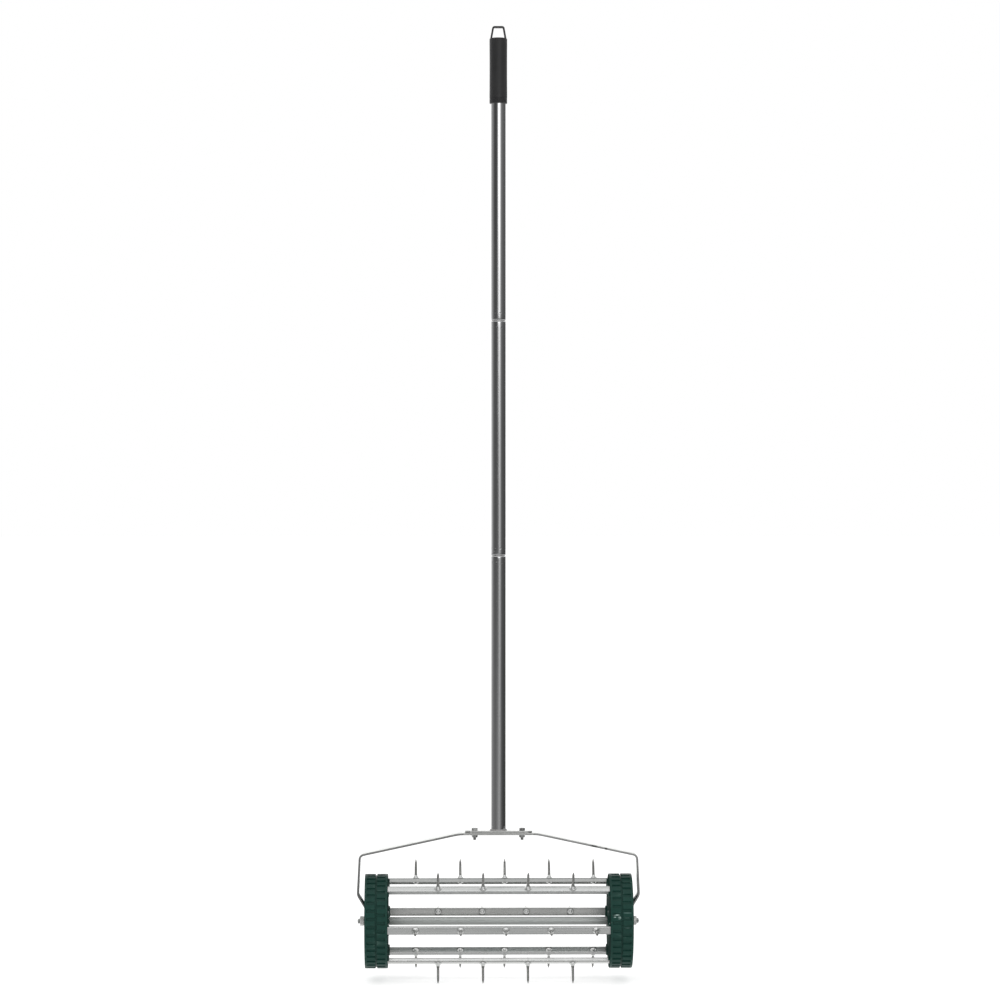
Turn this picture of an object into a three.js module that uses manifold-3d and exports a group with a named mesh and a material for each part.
// Rolling lawn aerator: a spiked roller turning on a long axle between the legs of a bent flat-bar
// yoke, with a three-piece steel tube handle and a moulded grip.
// Millimetres, +Z up. The origin is on the ground under the middle of the roller. The handle stands
// along +Z, the axle lies along X and the front faces -Y. In mesh names left is -X, right is +X.
import * as THREE from "three";
import { mergeVertices } from "three/addons/utils/BufferGeometryUtils.js";
import Module from "manifold-3d";

// ---------------------------------------------------------------- shared dimensions
// _R is a radius, _T a thickness, _L a length, _W a width, _AF a width across flats.
// Distances _X are from the middle of the machine, heights _Z from the axle centre.
const SIDES = {
  hex: 6, spike: 8, bolt: 12, plateHole: 16, axle: 24, hub: 24, tube: 24, grip: 28, foot: 32,
  spacer: 32,
};
const ENDS = { left: -1, right: 1 };
const CUT = 5; // how far a cutting solid runs past what it cuts
const STACK_GAP = 0.1; // between strap, plate, washers and nuts
const FACE_GAP = 0.05; // between the foot plate or strap and what bears on it
const SEAT_GAP = 0.3; // between pieces that rest on each other inside the roller

// Roller
const ROLLER_TURN = 6; // degrees: the front bar sits this far below the horizontal
const BAR_SPIKES = {
  front: 5, front_upper: 4, rear_upper: 5, rear: 4, rear_lower: 5, front_lower: 4,
};
const BAR_COUNT = Object.keys(BAR_SPIKES).length;
const BAR_STEP = 360 / BAR_COUNT; // degrees
const BAR_OUTER_R = 65; // axle centre to the outer face of a bar
const BAR_DEPTH = 6.5;
const BAR_W = 12;
const SPIKE_TIP_R = 96.5; // axle centre to spike tip
const SPIKE_TIP_FLAT_R = 0.5;

// Axle and strap
const AXLE_R = 4;
const STRAP_T = 3;
const STRAP_W = 30;
const STRAP_TOP_Z = 130.4; // centre line of the level middle
const LEG_X = 197.6; // centre line of the upright foot of each leg
const PLATE_BOLT_X = 35.35;
const PLATE_HOLE_R = 2.85;

const rad = THREE.MathUtils.degToRad;
const HALF_HEX_STEP = rad(30); // turns a hexagon from corners to flats
// The lower front bar carries the lowest spikes; the edge of their flat tips touches the ground.
const LOWEST_ANGLE = rad(BAR_STEP + ROLLER_TURN);
const AXLE_HEIGHT =
  SPIKE_TIP_R * Math.sin(LOWEST_ANGLE) + SPIKE_TIP_FLAT_R * Math.cos(LOWEST_ANGLE);

// ---------------------------------------------------------------- solids
const wasm = await Module();
wasm.setup();

function solid(geometry) {
  const bare = geometry.clone();
  for (const name of Object.keys(bare.attributes)) {
    if (name !== "position") bare.deleteAttribute(name);
  }
  const merged = mergeVertices(bare, 1e-4);
  return new wasm.Manifold(
    new wasm.Mesh({
      numProp: 3,
      vertProperties: new Float32Array(merged.attributes.position.array),
      triVerts: new Uint32Array(merged.index.array),
    }),
  );
}

function geometryOf(manifold) {
  const { vertProperties, numProp, triVerts } = manifold.getMesh();
  const count = vertProperties.length / numProp;
  const positions = new Float32Array(count * 3);
  for (let i = 0; i < count; i++) {
    for (let k = 0; k < 3; k++) positions[i * 3 + k] = vertProperties[i * numProp + k];
  }
  const geometry = new THREE.BufferGeometry();
  geometry.setAttribute("position", new THREE.BufferAttribute(positions, 3));
  geometry.setIndex(new THREE.BufferAttribute(new Uint32Array(triVerts), 1));
  geometry.computeVertexNormals();
  return geometry;
}

const vectors = (points) => points.map(([x, y]) => new THREE.Vector2(x, y));

// [radius, height] pairs turned about Y. The outline runs counter-clockwise (radius to the right,
// height up) so that the faces point out.
const turned = (profile, sides) => new THREE.LatheGeometry(vectors(profile), sides);
const alongX = (geometry) => geometry.rotateZ(-Math.PI / 2); // +Y goes to +X
const alongZ = (geometry) => geometry.rotateX(Math.PI / 2); // +Y goes to +Z

function ring(innerR, outerR, low, high, sides) {
  const start = [innerR, low];
  return turned([start, [outerR, low], [outerR, high], [innerR, high], start], sides);
}

function disc(radius, low, high, sides) {
  return turned([[0, low], [radius, low], [radius, high], [0, high]], sides);
}

// A hexagonal prism about Y with two corners on the Z axis.
function hexPrism(acrossFlats, low, high) {
  return disc(acrossFlats / 2 / Math.cos(HALF_HEX_STEP), low, high, SIDES.hex);
}

// A box between two values on each axis.
function box([x0, x1], [y0, y1], [z0, z1]) {
  return new THREE.BoxGeometry(x1 - x0, y1 - y0, z1 - z0)
    .translate((x0 + x1) / 2, (y0 + y1) / 2, (z0 + z1) / 2);
}
const centred = (width) => [-width / 2, width / 2];

// An XY drawing extruded evenly about its plane.
function extruded(shape, depth, options = {}) {
  return new THREE.ExtrudeGeometry(shape, { depth, bevelEnabled: false, ...options })
    .translate(0, 0, -depth / 2);
}

// ---------------------------------------------------------------- materials
const steel = ({ color, roughness }) =>
  new THREE.MeshStandardMaterial({ color, roughness, metalness: 0.95 });
const plastic = ({ color, roughness }) =>
  new THREE.MeshStandardMaterial({ color, roughness, metalness: 0 });
const MATERIALS = {
  tube: () => steel({ color: 0xb9bcbc, roughness: 0.22 }),
  zinc: () => steel({ color: 0xb4b8b6, roughness: 0.38 }),
  plug: () => steel({ color: 0xa9a9a6, roughness: 0.45 }),
  spike: () => steel({ color: 0xbcc0bf, roughness: 0.32 }),
  bolt: () => steel({ color: 0xa5a8a6, roughness: 0.4 }),
  grip: () => plastic({ color: 0x2a2a2b, roughness: 0.55 }),
  wheel: () => plastic({ color: 0x2c443c, roughness: 0.5 }),
};

// ---------------------------------------------------------------- groups
const aerator = new THREE.Group();
const axleFrame = new THREE.Group(); // what does not turn, measured from the axle centre
axleFrame.position.set(0, 0, AXLE_HEIGHT);
aerator.add(axleFrame);
const roller = new THREE.Group();
roller.position.set(0, 0, AXLE_HEIGHT);
roller.rotation.x = rad(ROLLER_TURN);
aerator.add(roller);

function add(group, name, geometry, material) {
  const mesh = new THREE.Mesh(geometry, material);
  mesh.name = name;
  group.add(mesh);
  return mesh;
}

// ---------------------------------------------------------------- yoke
// Centre line of the right half of the strap: x, z, corner radius.
const STRAP_PATH = [
  [0, STRAP_TOP_Z, 0],
  [58.45, STRAP_TOP_Z, 60],
  [206.2, 98.8, 8],
  [209.2, 40, 12],
  [LEG_X, 20.7, 10],
  [LEG_X, -STRAP_W / 2, 0],
];
const BEND_STEP = rad(16); // largest turn of one chord in a bend
const LEG_HOLE_R = AXLE_R + 0.35;

// The path's corners as arcs, then its end; the starting point is left out.
function roundedPath(path) {
  const points = [];
  for (let i = 1; i < path.length - 1; i++) {
    const [before, corner, after] = vectors(path.slice(i - 1, i + 2));
    const radius = path[i][2];
    const toBefore = before.sub(corner).normalize();
    const toAfter = after.sub(corner).normalize();
    const halfAngle = toBefore.angleTo(toAfter) / 2;
    const tangent = radius / Math.tan(halfAngle);
    const centre = toBefore.clone().add(toAfter).normalize()
      .multiplyScalar(radius / Math.sin(halfAngle)).add(corner);
    const start = toBefore.multiplyScalar(tangent).add(corner);
    const startArm = start.clone().sub(centre);
    const endArm = toAfter.multiplyScalar(tangent).add(corner).sub(centre);
    const turn = Math.atan2(startArm.cross(endArm), startArm.dot(endArm));
    const steps = Math.max(2, Math.ceil(Math.abs(turn) / BEND_STEP));
    for (let k = 0; k <= steps; k++) {
      points.push(start.clone().rotateAround(centre, (turn * k) / steps));
    }
  }
  points.push(...vectors(path.slice(-1)));
  return points;
}

// The outline of a strip of even thickness about a line of points, mitred at each point.
function stripOutline(line, thickness) {
  const upper = [];
  const lower = [];
  line.forEach((point, i) => {
    const before = i > 0 ? point.clone().sub(line[i - 1]).normalize() : null;
    const after = i < line.length - 1 ? line[i + 1].clone().sub(point).normalize() : null;
    const inside = before && after;
    const along = inside ? before.clone().add(after).normalize() : before || after;
    const stretch = inside ? 1 / Math.max(0.5, along.dot(after)) : 1;
    const offset = new THREE.Vector2(-along.y, along.x).multiplyScalar((thickness / 2) * stretch);
    upper.push(point.clone().add(offset));
    lower.push(point.clone().sub(offset));
  });
  return new THREE.Shape([...lower, ...upper.reverse()]);
}

function yokeGeometry() {
  const rightHalf = roundedPath(STRAP_PATH);
  const leftHalf = rightHalf.map(({ x, y }) => new THREE.Vector2(-x, y)).reverse();
  const outline = stripOutline([...leftHalf, ...rightHalf], STRAP_T);
  // The drawing's Y becomes Z.
  let strap = solid(extruded(outline, STRAP_W).rotateX(Math.PI / 2));

  const plateHole = solid(alongZ(disc(PLATE_HOLE_R, -CUT, CUT, SIDES.plateHole)));
  const axleHole = solid(alongX(disc(LEG_HOLE_R, -CUT, CUT, SIDES.axle)));
  // What is cut from each foot to round it about the axle.
  const footCorners = solid(box([-CUT, CUT], [-STRAP_W, STRAP_W], [-STRAP_W, 0])).subtract(
    solid(alongX(disc(STRAP_W / 2, -2 * CUT, 2 * CUT, SIDES.foot))),
  );
  for (const side of Object.values(ENDS)) {
    strap = strap
      .subtract(plateHole.translate([side * PLATE_BOLT_X, 0, STRAP_TOP_Z]))
      .subtract(axleHole.translate([side * LEG_X, 0, 0]))
      .subtract(footCorners.translate([side * LEG_X, 0, 0]));
  }
  return geometryOf(strap);
}

add(axleFrame, "yoke_strap", yokeGeometry(), MATERIALS.zinc());

// ---------------------------------------------------------------- foot plate
const PLATE_L = 100.4;
const PLATE_T = 3;
const PLATE_CORNER_R = 9;
const PLATE_UNDER_Z = STRAP_TOP_Z + STRAP_T / 2 + STACK_GAP;
const PLATE_TOP_Z = PLATE_UNDER_Z + PLATE_T;

function plateGeometry() {
  const cornerX = PLATE_L / 2 - PLATE_CORNER_R;
  const cornerY = STRAP_W / 2 - PLATE_CORNER_R;
  const outline = new THREE.Shape();
  outline.moveTo(-cornerX, -STRAP_W / 2);
  outline.lineTo(cornerX, -STRAP_W / 2);
  // Corner arcs counter-clockwise; each is joined to the last by a straight edge.
  [[1, -1], [1, 1], [-1, 1], [-1, -1]].forEach(([sideX, sideY], i) => {
    const start = (i - 1) * (Math.PI / 2);
    const end = i * (Math.PI / 2);
    outline.absarc(sideX * cornerX, sideY * cornerY, PLATE_CORNER_R, start, end, false);
  });
  for (const side of Object.values(ENDS)) {
    const hole = new THREE.Path();
    hole.absarc(side * PLATE_BOLT_X, 0, PLATE_HOLE_R, 0, Math.PI * 2, true);
    outline.holes.push(hole);
  }
  return extruded(outline, PLATE_T, { curveSegments: 8 })
    .translate(0, 0, PLATE_UNDER_Z + PLATE_T / 2);
}

add(axleFrame, "foot_plate", plateGeometry(), MATERIALS.zinc());

// ---------------------------------------------------------------- foot plate bolts and nuts
const BOLT_R = 2.45;
const BOLT_TIP_R = 1.7;
const BOLT_TIP_L = 0.8;
const BOLT_AF = 8;
const BOLT_HEAD_T = 3.6;
const BOLT_HEAD_OVERLAP = 1; // how far the shank runs up into the head
const BOLT_TIP_Z = 120.6;
const BOLT_NUT_T = 4.5;
const THREAD_CLEARANCE = 0.08;

// Drawn with the underside of the head at z = 0.
function plateBolt() {
  const tip = BOLT_TIP_Z - PLATE_TOP_Z;
  const head = hexPrism(BOLT_AF, 0, BOLT_HEAD_T).rotateY(HALF_HEX_STEP);
  const shank = turned(
    [
      [0, tip], [BOLT_TIP_R, tip], [BOLT_R, tip + BOLT_TIP_L],
      [BOLT_R, BOLT_HEAD_OVERLAP], [0, BOLT_HEAD_OVERLAP],
    ],
    SIDES.bolt,
  );
  return solid(alongZ(head)).add(solid(alongZ(shank)));
}

// Drawn with its top face at z = 0.
function plateNut() {
  const blank = hexPrism(BOLT_AF, -BOLT_NUT_T, 0).rotateY(HALF_HEX_STEP);
  const bore = disc(BOLT_R + THREAD_CLEARANCE, -BOLT_NUT_T - CUT, CUT, SIDES.bolt);
  return solid(alongZ(blank)).subtract(solid(alongZ(bore)));
}

for (const [tag, side] of Object.entries(ENDS)) {
  const x = side * PLATE_BOLT_X;
  const bolt = plateBolt().translate([x, 0, PLATE_TOP_Z + FACE_GAP]);
  add(axleFrame, "plate_bolt_" + tag, geometryOf(bolt), MATERIALS.bolt());
  const nut = plateNut().translate([x, 0, STRAP_TOP_Z - STRAP_T / 2 - FACE_GAP]);
  add(axleFrame, "plate_nut_" + tag, geometryOf(nut), MATERIALS.bolt());
}

// ---------------------------------------------------------------- handle tubes
const TUBE_R = 11;
const TUBE_IN_R = 10;
const NECK_R = 10.05; // the rolled-in end of a tube at a joint
const NECK_IN_R = 9.05;
const NECK_L = 4.5;
const NECK_SHOULDER_RISE = 0.62; // bulge of the neck's outside at its middle point
const TUBE_TOP_Z = 1311.6;
const JOINT_Z = { lower: 544.6, upper: 895.1 };
const COLLAR_T = 1.4;
// From the middle of a joint's collar to the tube end on either side.
const TUBE_END_OFFSET = COLLAR_T / 2 + 0.06;

// Wall points of one tube end, from the end inwards; inward is +1 or -1 along the tube.
function tubeEnd(end, inward, rolled) {
  if (!rolled) return { outer: [[TUBE_R, end]], inner: [[TUBE_IN_R, end]] };
  const at = (fraction) => end + inward * NECK_L * fraction;
  return {
    outer: [[NECK_R, end], [NECK_R + NECK_SHOULDER_RISE, at(0.35)], [TUBE_R, at(1)]],
    inner: [[NECK_IN_R, end], [NECK_IN_R, at(0.5)], [TUBE_IN_R, at(1)]],
  };
}

function tubeGeometry({ from, to, rolledLow = false, rolledHigh = false }) {
  const low = tubeEnd(from, 1, rolledLow);
  const high = tubeEnd(to, -1, rolledHigh);
  const profile = [
    ...low.outer,
    ...high.outer.reverse(),
    ...high.inner,
    ...low.inner.reverse(),
    low.outer[0],
  ];
  return alongZ(turned(profile, SIDES.tube));
}

const TUBES = {
  lower: {
    from: PLATE_TOP_Z + FACE_GAP,
    to: JOINT_Z.lower - TUBE_END_OFFSET,
    rolledHigh: true,
  },
  middle: {
    from: JOINT_Z.lower + TUBE_END_OFFSET,
    to: JOINT_Z.upper - TUBE_END_OFFSET,
    rolledLow: true,
    rolledHigh: true,
  },
  upper: { from: JOINT_Z.upper + TUBE_END_OFFSET, to: TUBE_TOP_Z, rolledLow: true },
};
for (const [tag, tube] of Object.entries(TUBES)) {
  add(axleFrame, "handle_tube_" + tag, tubeGeometry(tube), MATERIALS.tube());
}

// ---------------------------------------------------------------- screw joints
// A threaded socket sits in the top end of the tube below, a collared screw in the bottom end of
// the tube above.
const COLLAR_R = 10.3;
const PLUG_L = 26;
const PLUG_R = 9.8;
const PLUG_NECK_R = 8.85;
const PLUG_SHOULDER = NECK_L + 0.3; // tube end to where the plug has its full radius
const PLUG_TAPER_L = 1;
const SOCKET_SUNK = 0.1; // socket face below the tube end
const SCREW_R = 5;
const SCREW_BORE_R = SCREW_R + 0.25;
const SCREW_L = 18;
const SCREW_CHAMFER = 0.8;

function jointSocket(joint) {
  const end = joint - TUBE_END_OFFSET;
  const profile = [
    [SCREW_BORE_R, end - PLUG_L],
    [PLUG_R, end - PLUG_L],
    [PLUG_R, end - PLUG_SHOULDER],
    [PLUG_NECK_R, end - PLUG_SHOULDER + PLUG_TAPER_L],
    [PLUG_NECK_R, end - SOCKET_SUNK],
    [SCREW_BORE_R, end - SOCKET_SUNK],
    [SCREW_BORE_R, end - PLUG_L],
  ];
  return alongZ(turned(profile, SIDES.tube));
}

function jointScrew(joint) {
  const end = joint + TUBE_END_OFFSET;
  const collarLow = joint - COLLAR_T / 2;
  const collarHigh = joint + COLLAR_T / 2;
  const profile = [
    [0, collarLow - SCREW_L],
    [SCREW_R - SCREW_CHAMFER, collarLow - SCREW_L],
    [SCREW_R, collarLow - SCREW_L + SCREW_CHAMFER],
    [SCREW_R, collarLow],
    [COLLAR_R, collarLow],
    [COLLAR_R, collarHigh],
    [PLUG_NECK_R, collarHigh],
    [PLUG_NECK_R, end + PLUG_SHOULDER - PLUG_TAPER_L],
    [PLUG_R, end + PLUG_SHOULDER],
    [PLUG_R, end + PLUG_L],
    [0, end + PLUG_L],
  ];
  return alongZ(turned(profile, SIDES.tube));
}

for (const [tag, joint] of Object.entries(JOINT_Z)) {
  add(axleFrame, "joint_socket_" + tag, jointSocket(joint), MATERIALS.plug());
  add(axleFrame, "joint_screw_" + tag, jointScrew(joint), MATERIALS.plug());
}

// ---------------------------------------------------------------- grip with its hanging eye
const GRIP_R = 13.25;
const GRIP_BORE_R = 11.2;
const GRIP_LOW_Z = 1218.8;
const GRIP_TOP_Z = 1316.1;
const GRIP_CAP_T = 3.6;
const GRIP_LOW_BEVEL = { inset: 0.5, height: 0.8 };
const GRIP_TOP_CHAMFER = 1.2;
const EYE_TOP_Z = 1334.2;
const EYE_BASE_HALF = 11.6; // half widths of the tapering eye
const EYE_TOP_HALF = 8.9;
const EYE_CORNER = 3;
const EYE_DEPTH = 9;
const EYE_ROOT = 2.4; // how far the eye is sunk into the grip
const EYE_BAR = 2.8; // width of the material round the hole
const EYE_HOLE_CHAMFER = 1.2;
const EYE_HOLE_EASE = 0.4; // widens the hole's top and lowers its bottom edge

function gripSleeve() {
  const capUnder = GRIP_TOP_Z - GRIP_CAP_T;
  const profile = [
    [0, capUnder],
    [GRIP_BORE_R, capUnder],
    [GRIP_BORE_R, GRIP_LOW_Z],
    [GRIP_R - GRIP_LOW_BEVEL.inset, GRIP_LOW_Z],
    [GRIP_R, GRIP_LOW_Z + GRIP_LOW_BEVEL.height],
    [GRIP_R, GRIP_TOP_Z - GRIP_TOP_CHAMFER],
    [GRIP_R - GRIP_TOP_CHAMFER, GRIP_TOP_Z],
    [0, GRIP_TOP_Z],
  ];
  return alongZ(turned(profile, SIDES.grip));
}

function eyeHole() {
  const bottomHalf = EYE_BASE_HALF - EYE_BAR;
  const bottom = GRIP_TOP_Z - EYE_HOLE_EASE;
  const topHalf = EYE_TOP_HALF - EYE_BAR + EYE_HOLE_EASE;
  const top = EYE_TOP_Z - EYE_BAR;
  return new THREE.Path(vectors([
    [-bottomHalf, bottom],
    [-topHalf, top - EYE_HOLE_CHAMFER],
    [-topHalf + EYE_HOLE_CHAMFER, top],
    [topHalf - EYE_HOLE_CHAMFER, top],
    [topHalf, top - EYE_HOLE_CHAMFER],
    [bottomHalf, bottom],
  ]));
}

function hangingEye() {
  const root = GRIP_TOP_Z - EYE_ROOT;
  const slope = (EYE_BASE_HALF - EYE_TOP_HALF) / (EYE_TOP_Z - GRIP_TOP_Z);
  const cornerHalf = EYE_TOP_HALF + slope * EYE_CORNER;
  const cornerZ = EYE_TOP_Z - EYE_CORNER;
  const flatHalf = EYE_TOP_HALF - EYE_CORNER;
  const outline = new THREE.Shape();
  outline.moveTo(-EYE_BASE_HALF, root);
  outline.lineTo(EYE_BASE_HALF, root);
  outline.lineTo(EYE_BASE_HALF, GRIP_TOP_Z);
  outline.lineTo(cornerHalf, cornerZ);
  outline.quadraticCurveTo(EYE_TOP_HALF, EYE_TOP_Z, flatHalf, EYE_TOP_Z);
  outline.lineTo(-flatHalf, EYE_TOP_Z);
  outline.quadraticCurveTo(-EYE_TOP_HALF, EYE_TOP_Z, -cornerHalf, cornerZ);
  outline.lineTo(-EYE_BASE_HALF, GRIP_TOP_Z);
  outline.holes.push(eyeHole());
  return extruded(outline, EYE_DEPTH, { curveSegments: 4 }).rotateX(Math.PI / 2);
}

const grip = geometryOf(solid(gripSleeve()).add(solid(hangingEye())));
add(axleFrame, "hand_grip", grip, MATERIALS.grip());

// ---------------------------------------------------------------- axle, washers and nuts
const AXLE_HALF = 209.8;
const AXLE_CHAMFER = 0.7;
const WASHER_R = 8;
const WASHER_IN_R = AXLE_R + 0.3;
const WASHER_T = 1;
const AXLE_NUT_T = 6;
const AXLE_NUT_AF = 13;
// Inner faces, from the middle of the axle outwards; the strap's leg lies between the washers.
const THRUST_WASHER_X = LEG_X - STRAP_T / 2 - STACK_GAP - WASHER_T;
const OUTER_WASHER_X = LEG_X + STRAP_T / 2 + STACK_GAP;
const AXLE_NUT_X = OUTER_WASHER_X + WASHER_T + STACK_GAP;

function axleGeometry() {
  const profile = [
    [0, -AXLE_HALF],
    [AXLE_R - AXLE_CHAMFER, -AXLE_HALF],
    [AXLE_R, -AXLE_HALF + AXLE_CHAMFER],
    [AXLE_R, AXLE_HALF - AXLE_CHAMFER],
    [AXLE_R - AXLE_CHAMFER, AXLE_HALF],
    [0, AXLE_HALF],
  ];
  return alongX(turned(profile, SIDES.axle));
}

function axleNut() {
  const end = AXLE_NUT_X + AXLE_NUT_T;
  const bore = disc(AXLE_R + THREAD_CLEARANCE, AXLE_NUT_X - CUT, end + CUT, SIDES.axle);
  return geometryOf(solid(hexPrism(AXLE_NUT_AF, AXLE_NUT_X, end)).subtract(solid(bore)));
}

const washer = (inner) => ring(WASHER_IN_R, WASHER_R, inner, inner + WASHER_T, SIDES.axle);

// Lays a piece drawn along +Y at its end of the axle; the left one is turned end for end.
function atEnd(geometry, side) {
  const laid = alongX(geometry);
  return side < 0 ? laid.rotateZ(Math.PI) : laid;
}

add(axleFrame, "axle_rod", axleGeometry(), MATERIALS.zinc());
for (const [tag, side] of Object.entries(ENDS)) {
  const pieces = {
    thrust_washer_: washer(THRUST_WASHER_X),
    axle_washer_: washer(OUTER_WASHER_X),
    axle_nut_: axleNut(),
  };
  for (const [name, geometry] of Object.entries(pieces)) {
    add(axleFrame, name + tag, atEnd(geometry, side), MATERIALS.bolt());
  }
}

// ---------------------------------------------------------------- wheels
const WHEEL_R = 70;
const WHEEL_IN_X = 164.5; // inner face
const WHEEL_OUT_X = 198.5; // outer face
const WHEEL_MID_X = (WHEEL_IN_X + WHEEL_OUT_X) / 2;
const WHEEL_DISC_T = 4;
const WHEEL_CHAMFER = 0.8;
const RIM_IN_R = 65.6;
const GROOVE_W = 2.4; // groove round the middle of the tread
const GROOVE_DEPTH = 2;
const LUG_COUNT = 36;
const LUG_STEP = 360 / LUG_COUNT; // degrees
const LUG_GAP = 4.6;
const LUG_DEPTH = 1.7;
const LUG_GROOVE_OVERLAP = 0.01; // how far the lug gaps run into the groove
const TREAD_EDGE_W = 3.4; // unbroken band at each edge of the tread
const HUB_R = 14;
const HUB_IN_X = WHEEL_IN_X - 1.5;
const HUB_OUT_X = 194.8;
// Corner radius of the running bore, whose flats are 4.1 from the axis.
const HUB_BORE_R = 4.1 / Math.cos(Math.PI / SIDES.hub);
const RIB_W = 3;
const RIB_OUT_X = 190;
const SOCKET_W = 17.6;
const SOCKET_IN_R = 55.4;
const SOCKET_LIP_R = 63.2;
const SOCKET_LIP_X = WHEEL_IN_X - 2.2;
const SOCKET_FLOOR_X = 173;
const SOCKET_BACK_X = 177.5;
// How far ribs and sockets are sunk into their neighbours.
const OVERLAP = { ribHub: 2, ribRim: 0.6, socketRim: 1.4, lip: 2 };
const DISC_ROOT_X = WHEEL_IN_X + 1; // where ribs and sockets start inside the disc
const SPACER_R = 6;
const SPACER_IN_R = 4.8;
const SPACER_HALF = HUB_IN_X - 0.4;

// The plain wheel about Y, with a flat of the tread under each gap of the inner lug row.
function wheelBody() {
  const grooveLow = WHEEL_MID_X - GROOVE_W / 2;
  const grooveHigh = WHEEL_MID_X + GROOVE_W / 2;
  const profile = [
    [HUB_BORE_R, WHEEL_IN_X],
    [WHEEL_R - WHEEL_CHAMFER, WHEEL_IN_X],
    [WHEEL_R, WHEEL_IN_X + WHEEL_CHAMFER],
    [WHEEL_R, grooveLow],
    [WHEEL_R - GROOVE_DEPTH, grooveLow],
    [WHEEL_R - GROOVE_DEPTH, grooveHigh],
    [WHEEL_R, grooveHigh],
    [WHEEL_R, WHEEL_OUT_X - WHEEL_CHAMFER],
    [WHEEL_R - WHEEL_CHAMFER, WHEEL_OUT_X],
    [RIM_IN_R, WHEEL_OUT_X],
    [RIM_IN_R, WHEEL_IN_X + WHEEL_DISC_T],
    [HUB_BORE_R, WHEEL_IN_X + WHEEL_DISC_T],
    [HUB_BORE_R, WHEEL_IN_X],
  ];
  return turned(profile, LUG_COUNT).rotateY(rad(LUG_STEP / 2));
}

// Ribs and bar sockets, about Y with the first bar on +Z; the ribs lie midway between the bars.
function wheelFittings() {
  const rib = () => box(
    centred(RIB_W), [DISC_ROOT_X, RIB_OUT_X], [HUB_R - OVERLAP.ribHub, RIM_IN_R + OVERLAP.ribRim],
  );
  const boss = () => box(
    centred(SOCKET_W), [DISC_ROOT_X, SOCKET_BACK_X], [SOCKET_IN_R, RIM_IN_R + OVERLAP.socketRim],
  );
  // The lip stops short of the bar's outer face, which runs clear up to the wheel.
  const lip = () => box(
    centred(SOCKET_W), [SOCKET_LIP_X, WHEEL_IN_X + OVERLAP.lip], [SOCKET_IN_R, SOCKET_LIP_R],
  );
  return Array.from({ length: BAR_COUNT }, (_, i) => {
    const turn = rad(BAR_STEP * i);
    return [
      rib().rotateY(turn + rad(BAR_STEP / 2)),
      boss().rotateY(turn),
      lip().rotateY(turn),
    ];
  }).flat();
}

function barPockets() {
  return Array.from({ length: BAR_COUNT }, (_, i) =>
    box(
      centred(BAR_W + 2 * SEAT_GAP),
      [SOCKET_LIP_X - CUT, SOCKET_FLOOR_X],
      [BAR_OUTER_R - BAR_DEPTH - SEAT_GAP, BAR_OUTER_R + SEAT_GAP],
    ).rotateY(rad(BAR_STEP * i)));
}

// Gaps between the tread lugs: two rows, half a step apart.
function lugGaps() {
  const reach = GROOVE_W / 2 - LUG_GROOVE_OVERLAP;
  const rows = [
    { span: [WHEEL_IN_X + TREAD_EDGE_W, WHEEL_MID_X - reach], phase: 0 },
    { span: [WHEEL_MID_X + reach, WHEEL_OUT_X - TREAD_EDGE_W], phase: 0.5 },
  ];
  return rows.flatMap(({ span, phase }) =>
    Array.from({ length: LUG_COUNT }, (_, i) =>
      box(centred(LUG_GAP), span, [WHEEL_R - LUG_DEPTH, WHEEL_R + CUT])
        .rotateY(rad((i + phase) * LUG_STEP))));
}

// The right wheel: the turning axis +Y goes to +X and the radius along +Z goes to -Y.
function wheelGeometry() {
  const hub = ring(HUB_BORE_R, HUB_R, HUB_IN_X, HUB_OUT_X, SIDES.hub);
  const bore = disc(HUB_BORE_R, WHEEL_IN_X - CUT, WHEEL_OUT_X + CUT, SIDES.hub);
  let wheel = solid(wheelBody());
  for (const part of [hub, ...wheelFittings()]) wheel = wheel.add(solid(part));
  for (const cut of [...barPockets(), ...lugGaps(), bore]) wheel = wheel.subtract(solid(cut));
  return alongX(geometryOf(wheel)).rotateX(Math.PI / 2);
}

const wheel = wheelGeometry();
add(roller, "wheel_right", wheel.clone(), MATERIALS.wheel());
add(roller, "wheel_left", wheel.clone().rotateZ(Math.PI), MATERIALS.wheel());
// A loose tube on the axle keeps the two hubs apart.
const spacer = alongX(ring(SPACER_IN_R, SPACER_R, -SPACER_HALF, SPACER_HALF, SIDES.spacer));
add(roller, "spacer_tube", spacer, MATERIALS.zinc());

// ---------------------------------------------------------------- bars and spikes
// In its own group each bar lies along X at -Y, its channel open towards the axle.
const BAR_SHEET = 1.5;
const BAR_L = 343;
const SPIKE_PITCH = 66.6;
const SPIKE_SHIFT = 10; // the spike pattern sits this far towards +X
const STUD_R = 2.5;
const STUD_HOLE_R = STUD_R + 0.6;
const STUD_PROUD = 1.8; // how far the stud stands out of its nut
const SPIKE_NUT_AF = 8;
const SPIKE_NUT_T = 4.2;
const SPIKE_PIN_R = 1.8;
const SPIKE_POINT_L = 6;
// Foot of the spike: radius, height above its seat on the bar.
const SPIKE_FOOT = [[5, 0], [5, 1.3], [4.1, 2.2], [2.5, 4.8], [2.05, 8]];

function spikePlaces(count) {
  return Array.from(
    { length: count },
    (_, i) => (i - (count - 1) / 2) * SPIKE_PITCH + SPIKE_SHIFT,
  );
}

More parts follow.
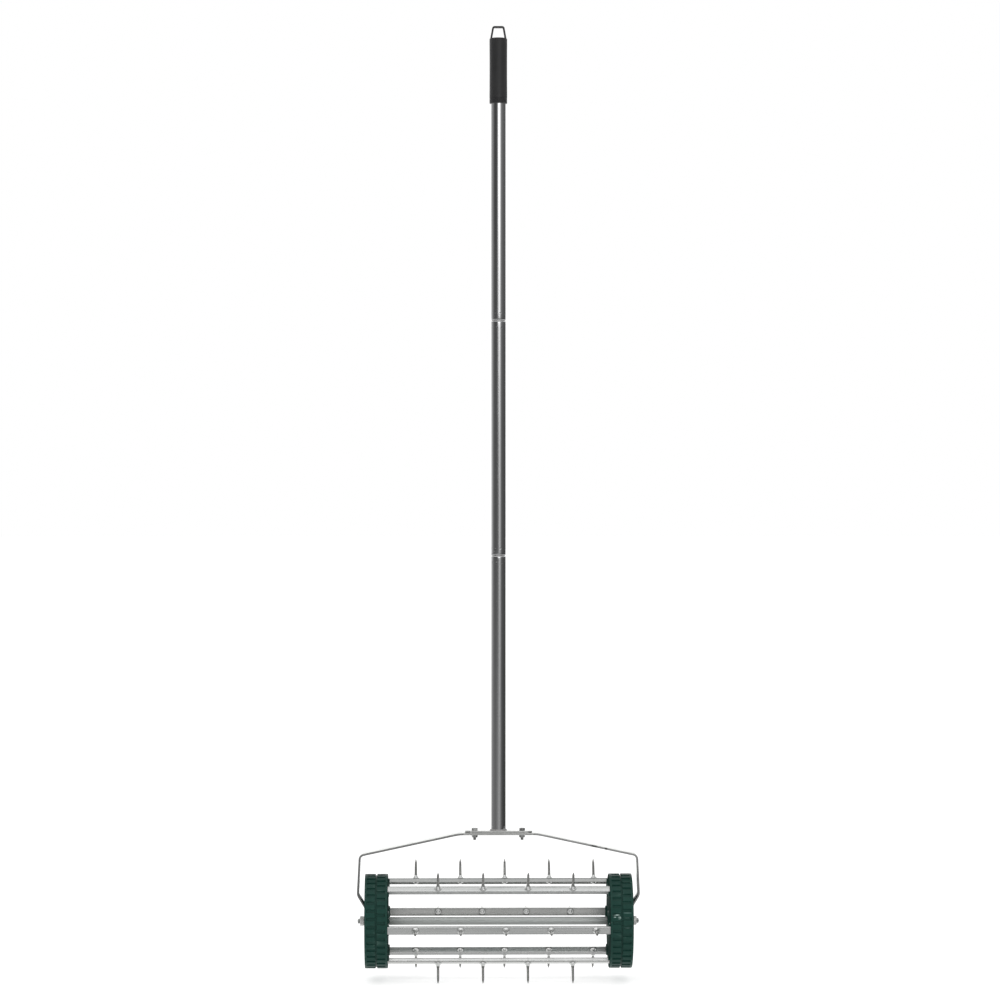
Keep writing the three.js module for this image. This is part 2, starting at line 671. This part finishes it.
function barGeometry(count) {
  const half = BAR_W / 2;
  const outer = -BAR_OUTER_R;
  const open = outer + BAR_DEPTH;
  const web = outer + BAR_SHEET;
  const outline = new THREE.Shape(vectors([
    [outer, -half],
    [open, -half],
    [open, -half + BAR_SHEET],
    [web, -half + BAR_SHEET],
    [web, half - BAR_SHEET],
    [open, half - BAR_SHEET],
    [open, half],
    [outer, half],
  ]));
  // Drawn in (Y, Z) and extruded along X.
  const drawingToBar = new THREE.Matrix4().set(0, 0, 1, 0, 1, 0, 0, 0, 0, 1, 0, 0, 0, 0, 0, 1);
  let bar = solid(extruded(outline, BAR_L).applyMatrix4(drawingToBar));
  for (const x of spikePlaces(count)) {
    const hole = disc(STUD_HOLE_R, outer - CUT, web + CUT, SIDES.spike).translate(x, 0, 0);
    bar = bar.subtract(solid(hole));
  }
  return geometryOf(bar);
}

// A spike with its stud and nut, drawn along +Y and turned to point out along -Y.
function spikeGeometry() {
  const seat = BAR_OUTER_R + SEAT_GAP;
  const nutTop = BAR_OUTER_R - BAR_SHEET - SEAT_GAP;
  const nutLow = nutTop - SPIKE_NUT_T;
  const profile = [
    [0, nutLow - STUD_PROUD],
    [STUD_R, nutLow - STUD_PROUD],
    [STUD_R, seat],
    ...SPIKE_FOOT.map(([radius, height]) => [radius, seat + height]),
    [SPIKE_PIN_R, SPIKE_TIP_R - SPIKE_POINT_L],
    [SPIKE_TIP_FLAT_R, SPIKE_TIP_R],
    [0, SPIKE_TIP_R],
  ];
  // Two flats of the nut face the channel's flanges, which keep it from turning.
  const nut = hexPrism(SPIKE_NUT_AF, nutLow, nutTop).rotateY(HALF_HEX_STEP);
  return geometryOf(solid(turned(profile, SIDES.spike)).add(solid(nut))).rotateX(Math.PI);
}

const spike = spikeGeometry();
Object.entries(BAR_SPIKES).forEach(([tag, count], i) => {
  const place = new THREE.Group();
  place.rotation.x = rad(-BAR_STEP * i);
  roller.add(place);
  add(place, "bar_" + tag, barGeometry(count), MATERIALS.zinc());
  spikePlaces(count).forEach((x, k) => {
    const name = "spike_" + tag + "_" + (k + 1);
    add(place, name, spike.clone(), MATERIALS.spike()).position.set(x, 0, 0);
  });
});

export default aerator;
